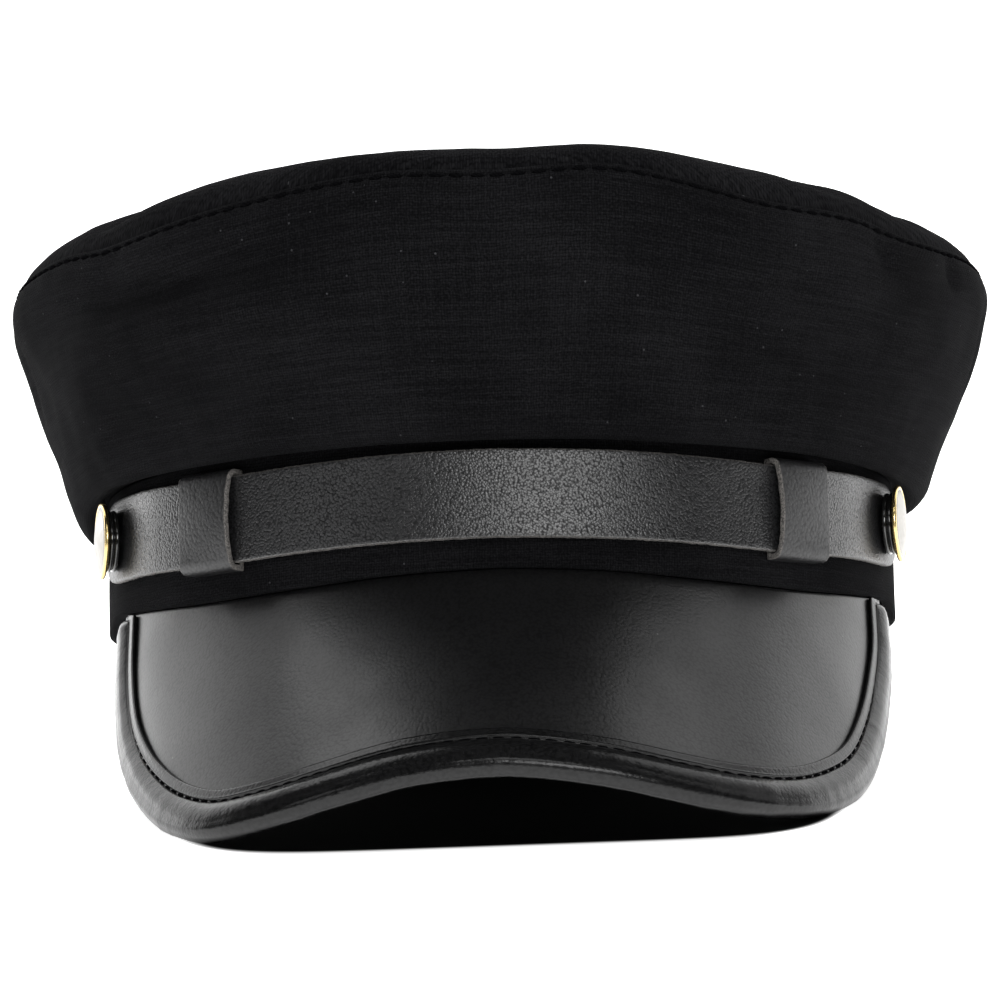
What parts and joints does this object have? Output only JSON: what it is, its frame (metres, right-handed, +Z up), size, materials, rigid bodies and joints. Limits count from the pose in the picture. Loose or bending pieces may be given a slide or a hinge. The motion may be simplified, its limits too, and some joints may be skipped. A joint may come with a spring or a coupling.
{
  "type": "breton fisherman cap",
  "caption": "Fisherman cap with a soft flared cloth crown on a plain band, a sloping bound leather peak, and a leather strap held by keepers and brass buttons.",
  "frame": {"origin": "on the table, under the middle of the cap's bounding box", "axes": "+Z up, -Y the way the peak points, +X to the right of a viewer who looks at the peak"},
  "size_m": [0.231, 0.274, 0.1405],
  "materials": {
    "cloth": "matt black plain-weave cotton",
    "peak_leather": "smooth satin black",
    "strap_leather": "pebble-grained black with raw cut edges",
    "brass": "polished",
    "black_lacquer": "gloss black"
  },
  "bodies": {
    "root": {"crown_wall": "cloth", "crown_top": "cloth", "band": "cloth", "peak": "peak_leather", "peak_binding": "peak_leather", "strap": "strap_leather", "keeper_left": "strap_leather", "keeper_right": "strap_leather", "button_cap_left": "brass", "button_cap_right": "brass", "button_base_left": "black_lacquer", "button_base_right": "black_lacquer"}
  },
  "joints": []
}
